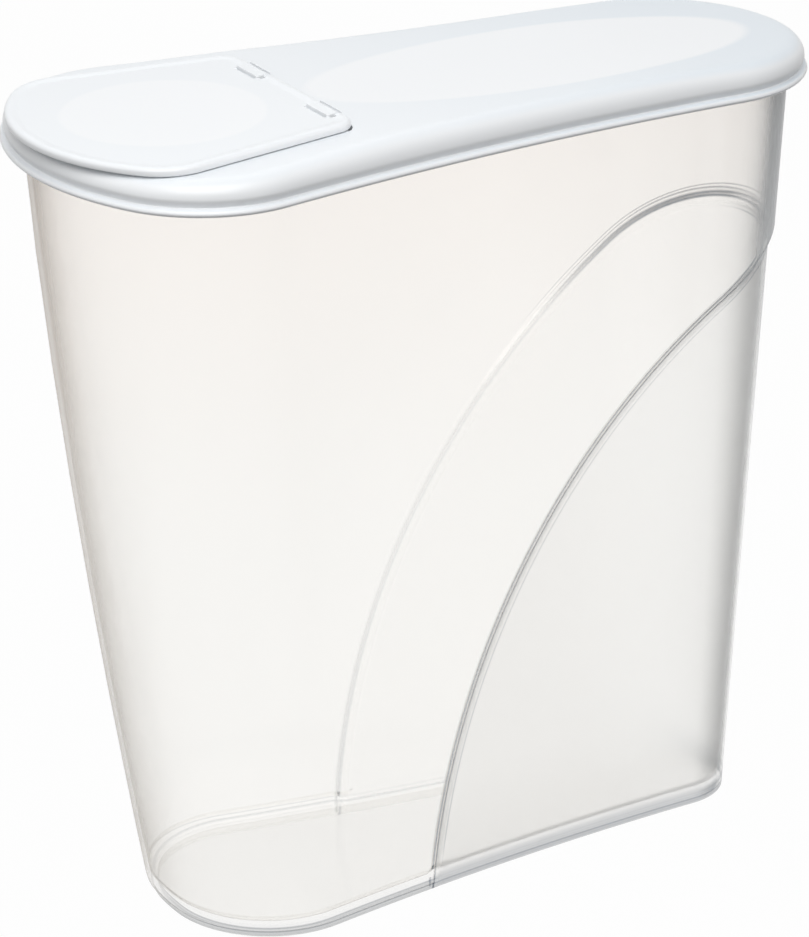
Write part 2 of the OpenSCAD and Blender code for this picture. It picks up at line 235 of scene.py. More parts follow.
# Both hinges' copies of a shape, mirrored about the middle, shifted and turned
def bothSides(make, turn):
    shapes = []
    for side in (1, -1):
        bm = make()
        place = Matrix.Translation((0, hinge["shift"], 0)) @ Matrix.Diagonal((1, side, 1, 1))
        bmesh.ops.transform(bm, matrix=turn @ place, verts=bm.verts)
        shapes.append(bm)
    return shapes


def turned(bm, turn):
    bmesh.ops.transform(bm, matrix=turn, verts=bm.verts)
    return bm


# Welds doubles, marks the sharp edges and turns mm into metres
def finishMesh(name, bm, weld=0.0005, sharpAngle=38):
    bmesh.ops.remove_doubles(bm, verts=bm.verts, dist=weld)
    settleOrder(bm)
    bmesh.ops.recalc_face_normals(bm, faces=bm.faces)
    for face in bm.faces:
        face.smooth = True
    for edge in bm.edges:
        edge.smooth = len(edge.link_faces) != 2 or edge.calc_face_angle() < math.radians(sharpAngle)
    bmesh.ops.scale(bm, verts=bm.verts, vec=(mm, mm, mm))
    mesh = bpy.data.meshes.new(name)
    bm.to_mesh(mesh)
    bm.free()
    piece = bpy.data.objects.new(name, mesh)
    scene.collection.objects.link(piece)
    weighted = piece.modifiers.new("even shading", "WEIGHTED_NORMAL")
    weighted.keep_sharp = True
    return piece


# The tub in mm: sweep is the recess's edge in side view, an arc, and ledge its distances inward from that arc
tub = dict(
    height=240.0, overhang=5.7, wall=1.4, sections=8, belly=1.6, tuck=0.6,
    floor=4.6, footRise=6.0, rimTop=8.2,
    sweepX=210.2, sweepZ=-8.7, sweepR=221.5, ledgeTop=-0.5, ledgeFoot=1.3, ledgeEnd=3.9, ledgeSteps=6,
    gripDepth=1.15, gripTaper=0.4, lowShares=(0.12, 0.28, 0.46, 0.64, 0.82),
    highShares=(0.05, 0.14, 0.26, 0.4, 0.55, 0.7, 0.85),
)
rimPlan = insetPlan(lidPlan, tub["overhang"])


def sectionPlan(t):
    plan = mixPlans(footPlan, rimPlan, t)
    plan["tip"] += tub["tuck"] * t * t - 4 * tub["belly"] * t * (1 - t)
    return plan


levels = [wholeOutline(halfOutline(sectionPlan(k / tub["sections"]))) for k in range(tub["sections"] + 1)]
columns = range(len(levels[0]))


def wallPoint(i, z, off):
    t = min(z / tub["height"], 1) * tub["sections"]
    k = min(int(t), tub["sections"] - 1)
    (p0, n0), (p1, n1) = levels[k][i], levels[k + 1][i]
    point = p0.lerp(p1, t - k) + off * n0.lerp(n1, t - k)
    return Vector((point.x, point.y, z))


def smoothStep(t):
    t = min(max(t, 0.0), 1.0)
    return t * t * (3 - 2 * t)


def sweepAway(p):
    return math.hypot(p.x - tub["sweepX"], p.z - tub["sweepZ"])


# How far the hand recess is sunk: a steep step along the sweep, then a short slope to a faint crease
def gripInset(p):
    inward = tub["sweepR"] - sweepAway(p)
    step = smoothStep((inward - tub["ledgeTop"]) / (tub["ledgeFoot"] - tub["ledgeTop"]))
    slope = min(max((inward - tub["ledgeFoot"]) / (tub["ledgeEnd"] - tub["ledgeFoot"]), 0), 1)
    return tub["gripDepth"] * step + tub["gripTaper"] * slope


def tubPoint(i, z, off):
    return wallPoint(i, z, off - gripInset(wallPoint(i, z, 0)))


def footPoint(i, z, off):
    return wallPoint(i, z, min(off, -gripInset(wallPoint(i, z, 0))))


# Height at which column i leaves a side-view circle, found by halving
def sweepHeight(i, radius, low, halvings=18):
    high = tub["height"]
    if sweepAway(wallPoint(i, low, 0)) > radius:
        return low
    for _ in range(halvings):
        middle = (low + high) / 2
        if sweepAway(wallPoint(i, middle, 0)) < radius:
            low = middle
        else:
            high = middle
    return low


def buildTub():
    top, foot, end = tub["ledgeTop"], tub["ledgeFoot"], tub["ledgeEnd"]
    steps = tub["ledgeSteps"]
    inward = [end, end - 0.5, (end + foot) / 2, foot + 0.4]
    inward += [foot + (top - foot) * k / steps for k in range(steps + 1)]
    ledgeRows = len(inward) - 1
    ledgeHeights = [
        [sweepHeight(i, tub["sweepR"] - depth, tub["footRise"] + 1 + 2 * k / ledgeRows) for i in columns]
        for k, depth in enumerate(inward)]

    def ring(off, z):
        return [tubPoint(i, z, off) for i in columns]

    def lowRing(off, share):
        rise = tub["footRise"]
        return [tubPoint(i, rise + (ledgeHeights[0][i] - rise) * share, off) for i in columns]

    def ledgeRing(off, k):
        return [tubPoint(i, ledgeHeights[k][i], off) for i in columns]

    def highRing(off, share):
        top = tub["height"]
        return [tubPoint(i, ledgeHeights[-1][i] + (top - ledgeHeights[-1][i]) * share, off) for i in columns]

    # Profiles as pairs of offset from the outline and height: the floor's fillet, the rim and the foot ring
    wall, floor, rim = tub["wall"], tub["floor"], tub["rimTop"]
    floorRows = [(-wall - 3.4, floor), (-wall - 2.2, floor + 0.12), (-wall - 1.2, floor + 0.6),
                 (-wall - 0.5, floor + 1.4), (-wall, floor + 3)]
    rimRows = [(-wall, 1), (-wall, rim - 1.0), (-1.2, rim - 0.35), (-0.7, rim), (0.6, rim), (1.3, rim - 0.2),
               (1.8, rim - 0.7), (2, rim - 1.4), (2, rim - 3.6), (1.7, rim - 4.2), (1.2, rim - 4.8), (0.5, rim - 5.3),
               (0, rim - 5.8)]
    footRows = [(0, tub["footRise"]), (-0.02, 4.4), (-0.12, 3.4), (-0.4, 2.8), (-0.8, 2.45), (-1.25, 2.25),
                (-1.4, 2.0), (-1.4, 0.5), (-1.5, 0.15), (-1.75, 0), (-3.0, 0), (-3.3, 0.4), (-3.5, floor - 1.6)]
    # Up the inside, over the rim and down the outside
    rings = [ring(off, z) for off, z in floorRows]
    rings += [lowRing(-wall, s) for s in tub["lowShares"]]
    rings += [ledgeRing(-wall, k) for k in range(ledgeRows + 1)]
    rings += [highRing(-wall, s) for s in tub["highShares"]]
    rings += [ring(off, tub["height"] + z) for off, z in rimRows]
    rings += [highRing(0, s) for s in reversed(tub["highShares"])]
    rings += [ledgeRing(0, k) for k in reversed(range(ledgeRows + 1))]
    rings += [lowRing(0, s) for s in reversed(tub["lowShares"])]
    rings += [[footPoint(i, z, off) for i in columns] for off, z in footRows]
    bm = bmesh.new()
    for loop in loftRings(bm, rings):
        bm.faces.new(loop)
    return finishMesh("tubShell", bm)


# The lid in mm, with heights above the tub's rim line and offsets inward from its outline. Falls are in degrees
lid = dict(
    deck=11.1, fall=1.35, fallStart=-39.9, tailFall=1.2, tailStart=61.6, tailBlend=8, shoulder=8.2,
    shoulderPower=0.72, wallIn=1.0, wallTop=4.7, bead=2.05, skin=1.3, rimGap=0.3,
    dishX=35.5, dishY=-2.5, dishLong=76.0, dishWide=27.5, dishDepth=0.6, dishSoft=0.06, strips=40,
)
lidRing = wholeOutline(halfOutline(lidPlan))
lidFall = math.tan(math.radians(lid["fall"]))
tailFall = math.tan(math.radians(lid["tailFall"]))
topZ = tub["height"]


# The deck is level in the middle and falls gently under the flap and towards the rear end
def deckHeight(x):
    blend = lid["tailBlend"]
    rear = max(0, x - lid["tailStart"] + blend)
    rear = rear * rear / (4 * blend) if rear < 2 * blend else rear - blend
    return topZ + lid["deck"] - lidFall * max(0, lid["fallStart"] - x) - tailFall * rear


# A shallow oval dish with a soft but definite edge
def dishSink(p, spec):
    away = ((p.x - spec["dishX"]) / spec["dishLong"]) ** 2 + ((p.y - spec["dishY"]) / spec["dishWide"]) ** 2
    inside, soft = 1 - away, spec["dishSoft"]
    if inside > soft:
        return spec["dishDepth"] * (inside - soft / 2)
    return spec["dishDepth"] * max(0, inside) ** 2 / (2 * soft)


def offsetRing(ring, off, height):
    out = []
    for point, normal in ring:
        p = point + off * normal
        out.append(Vector((p.x, p.y, height(p.x) if callable(height) else height)))
    return out


# The flap, the hinge and the spout in mm. The hinge's shapes are measured from its axis, with the flap closed
flap = dict(
    tip=-128.05, nose=59.3, noseSteps=18, corner=17.7, cornerSteps=20, half=45.45, taper=9.3,
    rearX=-42.7, rear=6.5, rearSteps=12, bow=0.2, thick=2.4, gap=0.25, sink=0.4,
    dishX=-85.0, dishY=0.0, dishLong=30.0, dishWide=29.0, dishDepth=0.3, dishSoft=0.06, strips=20,
)
hinge = dict(
    x=-44.9, rise=0.85, bar=1.0, fit=0.05, knuckle=2.2, length=11.6, y=20.4, shift=-1.9, gap=0.35,
    ear=1.3, earHalf=0.7, earDrop=5.2, lean=35,
    front=-3.3, back=3.5, pocket=3.4, trough=2.1, troughGap=0.45, troughHalf=36.2,
    strapRoot=-5, strapFront=-3.1, strapBack=0.75, strapTop=2.1, strapEdge=0.3, mouthHalf=0.85,
    frontGroove=-3.95, frontDeep=0.9, slotFront=-1.9, slotTop=0.75, earRoom=1.4,
    notchFront=-2.4, notchBack=-0.6, notchWide=1.3,
    lipFront=1.9, lipBack=2.4, lipLow=0.2, lipHigh=1.95, lipEdge=0.15, rearGrooveBack=1.95, rearGrooveLow=0.9,
)
spout = dict(rearX=-57.9, inset=12.5, collarT=1.2, collarH=0.75, collarDrop=4.0, plugT=1.1, plugDrop=3.0)
hingeZ = deckHeight(hinge["x"]) + hinge["rise"]
hingeTurn = Matrix.Translation((hinge["x"], 0, hingeZ)) @ Matrix.Rotation(-math.radians(lid["fall"]), 4, "Y")


# Half of the flap's outline about the hinge axis, with straight sides and a nearly straight rear edge
def flapOutline(rearX, rearR):
    tip = flap["tip"] - hinge["x"]
    plan = dict(tip=tip, nose=flap["nose"], corner=flap["corner"], half=flap["half"], tailX=0, tail=1,
                waist=10000)  # only the nose and corner arcs are used
    nose, corner = arcCentres(plan)[:2]
    noseEnd = bearing(corner - nose)
    side = math.radians(90 - flap["taper"])
    out = Vector((math.cos(side), math.sin(side)))
    inner = corner + (flap["corner"] - rearR) * out
    run = rearX - hinge["x"] - rearR - inner.x
    rear = inner + Vector((run, -run / math.tan(side)))
    bm = bmesh.new()
    vert = bm.verts.new((tip, 0, 0))
    vert = spinChain(bm, vert, nose, noseEnd - math.pi, evenShares(flap["noseSteps"]))
    spinChain(bm, vert, corner, side - noseEnd, evenShares(flap["cornerSteps"]))
    front = [v.co.xy.copy() for v in bm.verts]
    bm.free()
    bm = bmesh.new()
    vert = bm.verts.new((rear + rearR * out).to_3d())
    spinChain(bm, vert, rear, -side, evenShares(flap["rearSteps"]))
    back = [v.co.xy.copy() for v in bm.verts]
    bm.free()
    centres = [nose] * (flap["noseSteps"] + 1) + [corner] * flap["cornerSteps"]
    half = [(p, (p - centre).normalized()) for p, centre in zip(front, centres)]
    for share in (0.25, 0.5, 0.75):
        half.append((front[-1].lerp(back[0], share), out))
    half += [(p, (p - rear).normalized()) for p in back]
    edge = back[-1]
    for share in (0.2, 0.4, 0.6, 0.8, 1.0):
        half.append((Vector((edge.x + flap["bow"] * share, edge.y * (1 - share))), Vector((1, 0))))
    return half


flapRing = wholeOutline(flapOutline(flap["rearX"], flap["rear"]))
flapLow = -hinge["rise"] + flap["gap"]
flapHigh = flapLow + flap["thick"]
deckLow = -hinge["rise"]  # the deck beside the hinge, below the axis
spoutRing = wholeOutline(flapOutline(spout["rearX"] + spout["inset"], flap["rear"] + spout["inset"]))
knuckleFrom = hinge["y"] - hinge["length"] / 2
knuckleTo = hinge["y"] + hinge["length"] / 2
earFrom = knuckleFrom - hinge["gap"] - hinge["ear"]
earTo = knuckleTo + hinge["gap"] + hinge["ear"]


# The groove under the flap's rear edge, or with grow the pan that holds it
def trough(grow, low, high):
    half = hinge["troughHalf"] + grow
    trims = [((hinge["front"] - grow, 0, 0), (-1, 0, 0)), ((0, half, 0), (0, 1, 0)), ((0, -half, 0), (0, -1, 0))]
    return plate(flapRing, hinge["troughGap"] + grow, low, high, trims)


def pocket(grow, low, high):
    return block((hinge["front"] - grow, earFrom - hinge["gap"] - grow, low),
                 (hinge["back"] + grow, earTo + hinge["gap"] + grow, high))


# The ears lean forward, so that the flap's rear rim clears them when it stands open
hingeLean = Matrix.Rotation(math.radians(hinge["lean"]), 4, "Y")
far = 30  # a cut this long goes right through


# Collar, groove pan and hinge pockets are added, then opened, and the bars and ears come last
def lidSteps():
    skin = lid["skin"]
    panLow, panHigh = deckLow - hinge["pocket"] - skin, deckLow - skin / 2
    collar = plate(spoutRing, -spout["inset"] + spout["collarT"], deckLow - spout["collarDrop"],
                   deckLow + spout["collarH"])
    adds = [turned(collar, hingeTurn), turned(trough(skin, deckLow - hinge["trough"] - skin, panHigh), hingeTurn)]
    adds += bothSides(lambda: pocket(skin, panLow, panHigh), hingeTurn)
    cuts = [turned(plate(spoutRing, -spout["inset"], -far, far), hingeTurn),
            turned(trough(0, deckLow - hinge["trough"], far), hingeTurn)]
    cuts += bothSides(lambda: pocket(0, deckLow - hinge["pocket"], far), hingeTurn)
    bars = bothSides(lambda: rod(hinge["bar"], earFrom, earTo), hingeTurn)
    wide, drop = hinge["earHalf"], hinge["earDrop"]
    for start in (earFrom, earTo - hinge["ear"]):
        end = start + hinge["ear"]
        bars += bothSides(lambda: turned(block((-wide, start, -drop), (wide, end, 0)), hingeLean), hingeTurn)
    return [("UNION", b) for b in adds] + [("DIFFERENCE", b) for b in cuts] + [("UNION", b) for b in bars]


def buildLid():
    def mixed(share):
        return lambda x: topZ + lid["wallTop"] + (deckHeight(x) - topZ - lid["wallTop"]) * share

    bead, plugOut = lid["bead"], tub["overhang"] + tub["wall"] + lid["rimGap"]
    plugIn = plugOut + lid["skin"]
    channel = tub["rimTop"] + lid["rimGap"]
    turns = [90, 82, 74, 66, 58, 50, 42, 34, 26, 18, 10, 4, 0]
    rings = []
    for angle in turns:
        a = math.radians(angle)
        off = -lid["shoulder"] + (lid["shoulder"] - lid["wallIn"]) * math.cos(a) ** lid["shoulderPower"]
        rings.append(offsetRing(lidRing, off, mixed(math.sin(a))))
    # Cove, bead, bottom edge, snap bead, channel over the tub's rim, and the plug inside it
    skirt = [(-1.15, bead + 1.95), (-1.5, bead + 1.35), (-1.82, bead + 0.85), (-1.88, bead + 0.48), (-1.7, bead + 0.2),
             (-1.35, bead + 0.06), (-0.9, bead), (-0.5, bead - 0.12), (-0.2, bead - 0.42), (-0.03, bead - 0.8),
             (0, bead - 1.05), (-0.08, 0.75), (-0.3, 0.42), (-0.7, 0.12), (-1.1, 0),
             (-2.8, 0), (-3.25, 0.2), (-3.45, 0.6), (-3.4, 1.3), (-3.2, 1.9),
             (-3.2, channel - 1.6), (-3.6, channel - 0.6), (-4.3, channel - 0.08), (-5.0, channel), (-plugOut, channel),
             (-plugOut, 1.2), (-plugOut - 0.15, 0.7), (-plugOut - 0.4, 0.5), (-plugIn + 0.3, 0.5), (-plugIn, 0.9),
             (-plugIn, channel)]
    rings += [offsetRing(lidRing, off, topZ + z) for off, z in skirt]
    rings.append(offsetRing(lidRing, -plugIn - 1, lambda x: deckHeight(x) - lid["skin"]))
    bm = bmesh.new()
    first, last = loftRings(bm, rings)
    fillAcross(bm, last, 1)
    for vert in fillAcross(bm, first, lid["strips"]):
        vert.co.z = deckHeight(vert.co.x) - dishSink(vert.co, lid)
    return finishMesh("lidShell", combine(bm, lidSteps()))


# Knuckles, straps and plug, then the bores, snap mouths, grooves and ear slots
def flapSteps(under):
    plain = Matrix.Identity(4)
    top = flapHigh - flap["sink"]
    strapFront, strapBack, slotTop = hinge["strapFront"], hinge["strapBack"], hinge["slotTop"]
    adds = bothSides(lambda: rod(hinge["knuckle"], knuckleFrom, knuckleTo, 64), plain)
    adds += bothSides(lambda: block((hinge["strapRoot"], knuckleFrom, flapLow), (0, knuckleTo, top - 0.3)), plain)
    adds += bothSides(lambda: block((strapFront, knuckleFrom, 0), (strapBack, knuckleTo, hinge["strapTop"]),
                                    hinge["strapEdge"]), plain)
    ring = -spout["inset"] - hinge["gap"]
    adds.append(plate(spoutRing, ring, deckLow - spout["plugDrop"], under + 0.2))
    cuts = [plate(spoutRing, ring - spout["plugT"], -far, under + 0.1)]
    # Bores and mouths overrun their knuckles by 1 mm
    cuts += bothSides(lambda: rod(hinge["bar"] + hinge["fit"], earFrom - 1, earTo + 1), plain)
    mouth = hinge["mouthHalf"]
    cuts += bothSides(lambda: block((-mouth, knuckleFrom - 1, -far), (mouth, knuckleTo + 1, 0)), plain)
    cuts += bothSides(lambda: block((hinge["frontGroove"], knuckleFrom, top - hinge["frontDeep"]),
                                    (strapFront, knuckleTo, far)), plain)
    wide = hinge["ear"] + 2 * hinge["gap"]
    for start in (earFrom - hinge["gap"], earTo - hinge["ear"] - hinge["gap"]):
        cuts += bothSides(lambda: block((hinge["slotFront"], start, -far), (far, start + wide, slotTop)), plain)
        cuts += bothSides(lambda: rod(hinge["earRoom"], start, start + wide), plain)
    # A notch at the strap's near end, and behind the strap a lip with a groove before it, a little further along
    for edge in (knuckleFrom, -knuckleTo):
        low = edge + hinge["shift"]
        lipFrom, lipTo = low + 1, low + 1 + hinge["length"]
        cuts.append(block((hinge["notchFront"], low - hinge["notchWide"], 0), (hinge["notchBack"], low, far)))
        adds.append(block((hinge["lipFront"], lipFrom, hinge["lipLow"]), (hinge["lipBack"], lipTo, hinge["lipHigh"]),
                          hinge["lipEdge"]))
        cuts.append(block((strapBack, lipFrom, hinge["rearGrooveLow"]), (hinge["rearGrooveBack"], lipTo, far)))
    return [("UNION", b) for b in adds] + [("DIFFERENCE", b) for b in cuts]


def buildFlap():
    # From the sunk panel over the rounded rim to the underside, which clears the spout's collar
    under = -hinge["rise"] + spout["collarH"] + hinge["gap"]
    top, low = flapHigh, flapLow
    panel = top - flap["sink"]
    rows = [(-4.4, panel), (-3.9, panel + 0.02), (-3.4, panel + 0.1), (-2.9, top - 0.16), (-2.4, top - 0.05),
            (-1.9, top), (-1.3, top - 0.02), (-0.85, top - 0.12), (-0.45, top - 0.34), (-0.16, top - 0.68),
            (0, top - 1.1), (0, low + 0.5), (-0.12, low + 0.18), (-0.4, low), (-1.8, low), (-2.0, low + 0.1),
            (-2.1, low + 0.3), (-2.1, under)]
    bm = bmesh.new()
    first, last = loftRings(bm, [offsetRing(flapRing, off, z) for off, z in rows])
    fillAcross(bm, last, 1)
    local = dict(flap, dishX=flap["dishX"] - hinge["x"])
    for vert in fillAcross(bm, first, flap["strips"]):
        vert.co.z -= dishSink(vert.co, local)
    bm = combine(bm, flapSteps(under))
    bmesh.ops.transform(bm, matrix=hingeTurn, verts=bm.verts)
    return finishMesh("flapPanel", bm)


# An sRGB hex colour as linear values
def linear(hexColour):
    values = [int(hexColour[i:i + 2], 16) / 255 for i in (1, 3, 5)]
    return tuple(v / 12.92 if v <= 0.04045 else ((v + 0.055) / 1.055) ** 2.4 for v in values) + (1.0,)


def newMaterial(name):
    material = bpy.data.materials.new(name)
    material.use_nodes = True
    material.node_tree.nodes.clear()
    return material, material.node_tree


# Adds a node, sets its fields and sockets, and links other nodes' outputs to it
def addNode(tree, kind, fields=None, **sockets):
    node = tree.nodes.new(kind)
    for key, value in (fields or {}).items():
        setattr(node, key, value)
    for key, value in sockets.items():
        numbered = key[0] == "i" and key[1:].isdigit()  # i0 is the first socket
        socket = node.inputs[int(key[1:]) if numbered else key.replace("_", " ")]
        if isinstance(value, bpy.types.NodeSocket):
            tree.links.new(value, socket)
        else:
            socket.default_value = value
    return node


# Colours of the milky share, then how thick it looks, the frosting, and the painted shade lines. Places are in mm.
# clear and warm are the shares of light that pass. A span is where one value turns into the next.
# Warmer and denser near the rim, greyer and denser at the tail, and the warm share near the rim are painted shade
naturalPlastic = dict(
    lowTone="#e6ded4", highTone="#e9d9c8", tailShadeTone="#d3d7da", shine="#ffffff", roughness=0.16, sheen=(0.04, 0.5, 5.0),
    clear=(1.0, 0.998, 0.992, 1.0), warm=(1.0, 0.989, 0.978, 1.0), warmSpan=(130, 235), wallTilt=(0.6, 0.95),
    face=0.0115, slant=0.024, edge=0.92, edgePower=4.8,
    lowDensity=1.12, rimShadeDensity=1.25, heightSpan=(50, 240), floorThin=0.55, floorSpan=(4.5, 10),
    tailShadeDensity=2.2, tailSpan=(50, 105), tailRise=(120, 180), tailToneSpan=(50, 100),
    grain=0.6, grainSize=0.9, cloud=0.1, cloudSize=45.0, noiseSpan=(0.3, 0.7),
    gripThin=0.74, gripHaze=0.021, gripFrost=0.8, frostFade=4.0, floorFrost=0.05, frostRough=0.5, frostIOR=1.25,
    shadeLineTone="#566d84", crownRise=(150, 185), crownAcross=(-10, 10), farSpan=(0, 20), shadeLineFoot=(7, 16),
    gripFoot=(4.4, 2.9, 0.16), wallFoot=(3.9, 2.0, 0.1), floorEdge=(5.1, 0.35, 0.16),
    footLines=((0.8, 1.4, 0.34), (1.9, 0.55, 0.40), (3.6, 0.5, 0.08)),  # height, half width, strength
)
# The recess's painted shade lines: place inward from the arc, half width and strength, how they gain with the angle of
# view, strength at the crown of the arc and on the far side, and whether they reach the foot
stepShadeLines = (
    dict(at=1.0, half=0.7, strength=0.5, start=0.1, gain=2.5, crown=0.8, behind=1.3, toFoot=True),
    dict(at=-0.65, half=0.35, strength=0.28, start=0.05, gain=2.2, crown=0.5, behind=0.0, toFoot=False),
    dict(at=3.9, half=0.4, strength=0.5, start=-0.3, gain=3.0, crown=0.0, behind=0.0, toFoot=False),
)


def naturalPolypropylene():
    # Moulded natural polypropylene: a milky see-through wall, denser where it is seen edge on, with a painted shade
    # that makes it denser and warmer near the rim and denser and greyer at the tail, a frosted floor and hand recess,
    # and painted shade lines along the recess's step, round the foot and at the floor's far edge
    look = naturalPlastic
    material, tree = newMaterial("naturalPolypropyleneMoulded")

    def maths(operation, a, b, c=0.0):
        return addNode(tree, "ShaderNodeMath", {"operation": operation}, i0=a, i1=b, i2=c).outputs[0]

    def remap(value, span, start=0.0, end=1.0, kind="LINEAR"):
        return addNode(tree, "ShaderNodeMapRange", {"interpolation_type": kind}, i0=value, i1=span[0], i2=span[1],
                       i3=start, i4=end).outputs[0]

    def ramp(value, span, start=0.0, end=1.0):
        return remap(value, [edge * mm for edge in span], start, end)

    def band(value, at, half, strength):
        away = maths("ABSOLUTE", maths("SUBTRACT", value, at * mm), 0.0)
        return remap(away, (0.0, half * mm), strength, 0.0, "SMOOTHSTEP")

    def blend(amount, low, high):
        return addNode(tree, "ShaderNodeMix", {"data_type": "RGBA"}, i0=amount, i6=low, i7=high).outputs[2]

    def mixed(amount, first, second):
        return addNode(tree, "ShaderNodeMixShader", i0=amount, i1=first.outputs[0], i2=second.outputs[0])

    place = addNode(tree, "ShaderNodeTexCoord")
    spot = place.outputs["Object"]
    along, across, height = addNode(tree, "ShaderNodeSeparateXYZ", i0=spot).outputs
    tilt = maths("ABSOLUTE", addNode(tree, "ShaderNodeSeparateXYZ", i0=place.outputs["Normal"]).outputs[2], 0.0)
    onWall = remap(tilt, look["wallTilt"], 1.0, 0.0)
    facing = addNode(tree, "ShaderNodeLayerWeight", Blend=0.5).outputs["Facing"]
    flat = addNode(tree, "ShaderNodeVectorMath", {"operation": "MULTIPLY"}, i0=spot, i1=(1, 0, 1)).outputs[0]
    centre = (tub["sweepX"] * mm, 0, tub["sweepZ"] * mm)
    away = addNode(tree, "ShaderNodeVectorMath", {"operation": "DISTANCE"}, i0=flat, i1=centre).outputs["Value"]
    inward = maths("SUBTRACT", tub["sweepR"] * mm, away)

    # How much of the milky share shows: more edge on; more near the rim and at the tail, as painted shade; less in the
    # recess and the floor
    dense = maths("MULTIPLY_ADD", facing, look["slant"], look["face"])
    dense = maths("MULTIPLY_ADD", maths("POWER", facing, look["edgePower"]), look["edge"], dense)
    cloud = addNode(tree, "ShaderNodeTexNoise", Vector=spot, Scale=1 / (look["cloudSize"] * mm), Detail=4.0).outputs[0]
    dense = maths("MULTIPLY", dense, remap(cloud, look["noiseSpan"], 1 - look["cloud"], 1 + look["cloud"]))
    # Painted shade of the lid: denser towards the rim
    dense = maths("MULTIPLY", dense, ramp(height, look["heightSpan"], look["lowDensity"], look["rimShadeDensity"]))
    dense = maths("MULTIPLY", dense, ramp(height, look["floorSpan"], look["floorThin"], 1.0))
    # Painted shade: denser on the tail's upper walls, where less light falls
    tail = maths("MULTIPLY", ramp(along, look["tailSpan"], 0.0, look["tailShadeDensity"]), ramp(height, look["tailRise"]))
    dense = maths("MULTIPLY_ADD", maths("MULTIPLY", dense, onWall), tail, dense)
    grains = addNode(tree, "ShaderNodeTexNoise", Vector=spot, Scale=1 / (look["grainSize"] * mm), Detail=2.0).outputs[0]
    speckle = remap(grains, look["noiseSpan"], 1 - look["grain"], 1 + look["grain"])
    inGrip = maths("MULTIPLY", ramp(inward, (0, tub["ledgeEnd"])), onWall)
    dense = maths("MULTIPLY", dense, maths("MULTIPLY_ADD", inGrip, -look["gripThin"], 1.0))
    dense = maths("MULTIPLY_ADD", maths("MULTIPLY", inGrip, look["gripHaze"]), speckle, dense)

    # Painted shade lines, grey, where the wall steps: along the recess's edge, round the foot, and at the floor's far
    # edge
    crown = maths("MULTIPLY", ramp(height, look["crownRise"]), ramp(across, look["crownAcross"]))
    farSide = ramp(across, look["farSpan"])
    lines = 0.0
    for stepLine in stepShadeLines:
        seen = maths("MULTIPLY_ADD", facing, stepLine["gain"], stepLine["start"])
        seen = maths("MINIMUM", maths("MAXIMUM", seen, 0.0), 1.0)
        if not stepLine["toFoot"]:
            seen = maths("MULTIPLY", seen, ramp(height, look["shadeLineFoot"]))
        seen = maths("MULTIPLY", seen, stepLine["strength"])
        seen = maths("MULTIPLY", seen, remap(farSide, (0.0, 1.0), 1.0, stepLine["behind"]))
        seen = maths("MAXIMUM", seen, maths("MULTIPLY", crown, stepLine["crown"]))
        lines = maths("MULTIPLY_ADD", band(inward, stepLine["at"], stepLine["half"], 1.0), seen, lines)
    lines = maths("MULTIPLY", lines, onWall)
    nearSide = maths("SUBTRACT", 1.0, farSide)
    for line in look["footLines"]:
        lines = maths("MULTIPLY_ADD", band(height, *line), nearSide, lines)
    for line, where in ((look["gripFoot"], inGrip), (look["wallFoot"], onWall)):
        lines = maths("MULTIPLY_ADD", maths("MULTIPLY", band(height, *line), nearSide), where, lines)
    lines = maths("MULTIPLY_ADD", band(height, *look["floorEdge"]), farSide, lines)

    # Painted shade: the milky tone turns warmer towards the rim and greyer on the tail's walls, and the see-through
    # share warmer near the rim
    tone = blend(ramp(height, look["heightSpan"]), linear(look["lowTone"]), linear(look["highTone"]))
    atTail = maths("MULTIPLY", ramp(along, look["tailToneSpan"]), onWall)
    tone = blend(atTail, tone, linear(look["tailShadeTone"]))
    tint = blend(ramp(height, look["warmSpan"]), look["clear"], look["warm"])
    clear = addNode(tree, "ShaderNodeBsdfTransparent", Color=tint)
    frosted = addNode(tree, "ShaderNodeBsdfRefraction", Color=look["clear"], Roughness=look["frostRough"],
                      IOR=look["frostIOR"])
    # The recess's frosting fades where it is seen edge on, because rough refraction turns dark there
    gripFrost = remap(maths("POWER", facing, look["frostFade"]), (0.0, 0.5), look["gripFrost"], 0.0)
    gripFrost = maths("MULTIPLY", inGrip, gripFrost)
    frost = maths("MULTIPLY_ADD", maths("SUBTRACT", 1.0, onWall), look["floorFrost"], gripFrost)
    clear = mixed(frost, clear, frosted)
    through = addNode(tree, "ShaderNodeBsdfTranslucent", Color=tone)
    milky = addNode(tree, "ShaderNodeBsdfDiffuse", Color=tone)
    wall = mixed(dense, clear, mixed(0.5, milky, through))
    shine = addNode(tree, "ShaderNodeBsdfGlossy", Color=linear(look["shine"]), Roughness=look["roughness"])
    least, gain, power = look["sheen"]
    sheen = maths("MULTIPLY_ADD", maths("POWER", facing, power), gain, least)
    # The dark diffuse is the painted shade of the lines, laid over the gloss
    dark = addNode(tree, "ShaderNodeBsdfDiffuse", Color=linear(look["shadeLineTone"]))
    surface = mixed(lines, mixed(sheen, wall, shine), dark)
    addNode(tree, "ShaderNodeOutputMaterial", Surface=surface.outputs[0])
    return material


# The deck tone is a painted shade, bluer and darker: it comes in between the amounts at the two ends of shadeAlong, on
# faces whose normal is in upSpan, outside the oval
whitePlastic = dict(
    panel="#f1f3f5", deck="#d4dfe8", roughness=0.3, IOR=1.49, waveSize=16.0, waveHeight=0.2, waveStrength=0.05,
    lidShade=(0.22, 0.6), flapShade=(0.15, 0.15), shadeAlong=(-30, 100), upSpan=(0.6, 0.97), ovalSpan=(0.95, 1.02),
)


